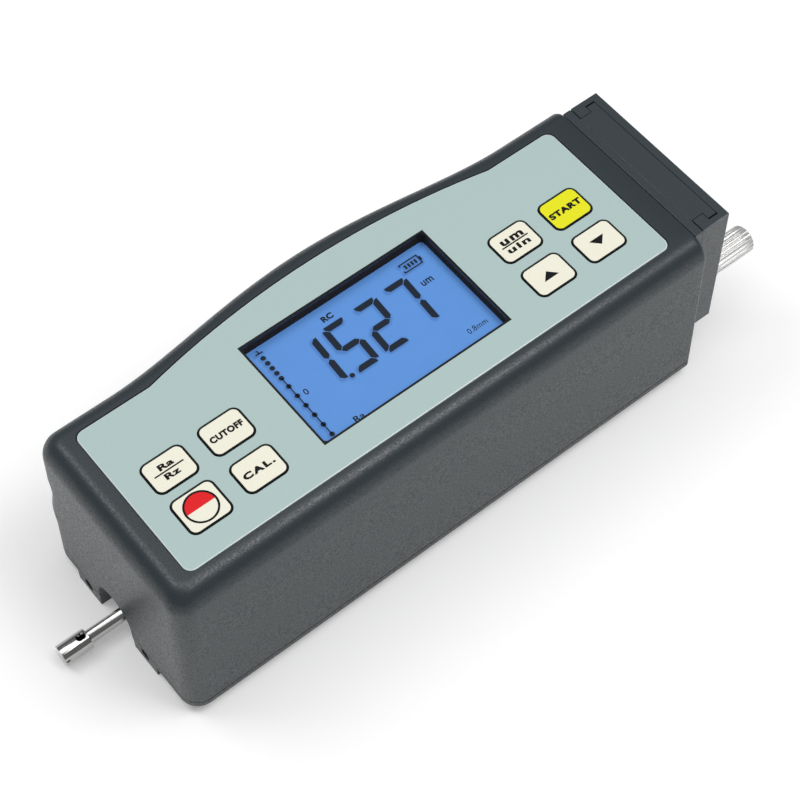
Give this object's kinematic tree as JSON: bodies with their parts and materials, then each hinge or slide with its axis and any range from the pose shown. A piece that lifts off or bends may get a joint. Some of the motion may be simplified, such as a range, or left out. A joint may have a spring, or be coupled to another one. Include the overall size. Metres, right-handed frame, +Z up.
{
  "type": "surface roughness tester",
  "caption": "Portable surface roughness tester: bulged grip housing, face panel with display and keys, stylus pick-up on a screw drive, adjusting leg with thumb screws.",
  "frame": {"origin": "under the middle of the whole box, on the plane that the feet stand on", "axes": "+X from the pick-up end to the leg end, +Y to the bulged grip side, +Z up"},
  "size_m": [0.1762, 0.0574, 0.0483],
  "materials": {
    "housing_plastic": "fine moulded texture",
    "cover_plastic": "fine moulded texture",
    "leg_plastic": "smooth matte",
    "foot_rubber": "matte",
    "panel_print": "satin printed film",
    "display_glass": "glossy, blue with dark segments",
    "black_foam": "matte",
    "light_guide": "clear satin",
    "key_cream": "satin",
    "key_yellow": "satin",
    "black_plastic": "satin",
    "board_green": "solder resist",
    "cell_wrap": "plain printed wrap",
    "plated_steel": "zinc plated",
    "black_steel": "blackened",
    "drive_aluminium": "milled",
    "motor_steel": "plated",
    "ground_steel": "ground",
    "bright_steel": "polished",
    "brass": "turned",
    "gear_nylon": "moulded",
    "diamond": "ground",
    "knurled_aluminium": "straight knurl, bright"
  },
  "bodies": {
    "body": {"housing": "housing_plastic", "bottom_cover": "cover_plastic", "cover_screws": "black_steel", "rear_feet": "foot_rubber", "battery_box": "black_plastic", "battery_cells": "cell_wrap", "battery_contacts": "plated_steel", "face_panel": "panel_print", "lcd_gasket": "black_foam", "lcd_glass": "display_glass", "lcd_backlight": "light_guide", "key_switches": "black_plastic", "main_board": "board_green", "board_screws": "plated_steel", "drive_frame": "drive_aluminium", "frame_screws": "plated_steel", "guide_rods": "ground_steel", "screw_bushes": "brass", "gear_motor": "motor_steel", "leg_guide": "leg_plastic", "guide_screws": "plated_steel"},
    "carriage": {"carriage": "drive_aluminium", "drive_nut": "brass", "pickup_socket": "black_plastic", "pickup_tube": "bright_steel", "skid_head": "bright_steel", "stylus_pin": "ground_steel"},
    "stylus": {"stylus_arm": "ground_steel", "stylus_tip": "diamond"},
    "lead_screw": {"lead_screw": "ground_steel", "drive_gear": "gear_nylon"},
    "motor_shaft": {"motor_pinion": "brass"},
    "battery_door": {"battery_door": "cover_plastic"},
    "leg": {"leg_channel": "leg_plastic"},
    "clamp_near": {"clamp_pad_near": "brass"},
    "thumb_near": {"thumb_screw_near": "knurled_aluminium"},
    "clamp_far": {"clamp_pad_far": "brass"},
    "thumb_far": {"thumb_screw_far": "knurled_aluminium"},
    "key_parameter": {"key_parameter": "key_cream"},
    "key_cutoff": {"key_cutoff": "key_cream"},
    "key_power": {"key_power": "key_cream"},
    "key_calibrate": {"key_calibrate": "key_cream"},
    "key_units": {"key_units": "key_cream"},
    "key_start": {"key_start": "key_yellow"},
    "key_up": {"key_up": "key_cream"},
    "key_down": {"key_down": "key_cream"}
  },
  "joints": [
    {"name": "lead_screw_turn", "type": "hinge", "parent": "body", "child": "lead_screw", "pos_m": [-0.00392, -0.00021, 0.023], "axis": [1, 0, 0], "range_deg": [0, 3150]},
    {"name": "carriage_slide", "type": "slide", "parent": "body", "child": "carriage", "axis": [1, 0, 0], "range_m": [0, 0.0175]},
    {"name": "motor_turn", "type": "hinge", "parent": "body", "child": "motor_shaft", "pos_m": [-0.00392, -0.01571, 0.023], "axis": [1, 0, 0], "range_deg": [-6616, 0]},
    {"name": "stylus_pivot", "type": "hinge", "parent": "carriage", "child": "stylus", "pos_m": [-0.05393, -0.00021, 0.0035], "axis": [0, 1, 0], "range_deg": [-0.7, 0.7], "stiffness_Nm_per_rad": 0.05},
    {"name": "battery_door_slide", "type": "slide", "parent": "body", "child": "battery_door", "axis": [-1, 0, 0], "range_m": [0, 0.024]},
    {"name": "leg_slide", "type": "slide", "parent": "body", "child": "leg", "axis": [0, 0, 1], "range_m": [-0.012, 0]},
    {"name": "clamp_near_travel", "type": "slide", "parent": "leg", "child": "clamp_near", "axis": [1, 0, 0], "range_m": [0, 0.001]},
    {"name": "thumb_near_turn", "type": "hinge", "parent": "clamp_near", "child": "thumb_near", "pos_m": [0.08107, -0.01981, 0.024], "axis": [1, 0, 0], "range_deg": [0, 720]},
    {"name": "clamp_far_travel", "type": "slide", "parent": "leg", "child": "clamp_far", "axis": [1, 0, 0], "range_m": [0, 0.001]},
    {"name": "thumb_far_turn", "type": "hinge", "parent": "clamp_far", "child": "thumb_far", "pos_m": [0.08107, 0.01579, 0.024], "axis": [1, 0, 0], "range_deg": [0, 720]},
    {"name": "key_parameter_press", "type": "slide", "parent": "body", "child": "key_parameter", "axis": [0, 0, -1], "range_m": [0, 0.0004], "stiffness_N_per_m": 2000},
    {"name": "key_cutoff_press", "type": "slide", "parent": "body", "child": "key_cutoff", "axis": [0, 0, -1], "range_m": [0, 0.0004], "stiffness_N_per_m": 2000},
    {"name": "key_power_press", "type": "slide", "parent": "body", "child": "key_power", "axis": [0, 0, -1], "range_m": [0, 0.0004], "stiffness_N_per_m": 2000},
    {"name": "key_calibrate_press", "type": "slide", "parent": "body", "child": "key_calibrate", "axis": [0, 0, -1], "range_m": [0, 0.0004], "stiffness_N_per_m": 2000},
    {"name": "key_units_press", "type": "slide", "parent": "body", "child": "key_units", "axis": [0, 0, -1], "range_m": [0, 0.0004], "stiffness_N_per_m": 2000},
    {"name": "key_start_press", "type": "slide", "parent": "body", "child": "key_start", "axis": [0, 0, -1], "range_m": [0, 0.0004], "stiffness_N_per_m": 2000},
    {"name": "key_up_press", "type": "slide", "parent": "body", "child": "key_up", "axis": [0, 0, -1], "range_m": [0, 0.0004], "stiffness_N_per_m": 2000},
    {"name": "key_down_press", "type": "slide", "parent": "body", "child": "key_down", "axis": [0, 0, -1], "range_m": [0, 0.0004], "stiffness_N_per_m": 2000}
  ],
  "couplings": [
    {"joint": "carriage_slide", "follows": "lead_screw_turn", "m_per_rad": 0.0003183},
    {"joint": "motor_turn", "follows": "lead_screw_turn", "ratio": -2.1},
    {"joint": "thumb_near_turn", "follows": "clamp_near_travel", "rad_per_m": 12566},
    {"joint": "thumb_far_turn", "follows": "clamp_far_travel", "rad_per_m": 12566}
  ]
}
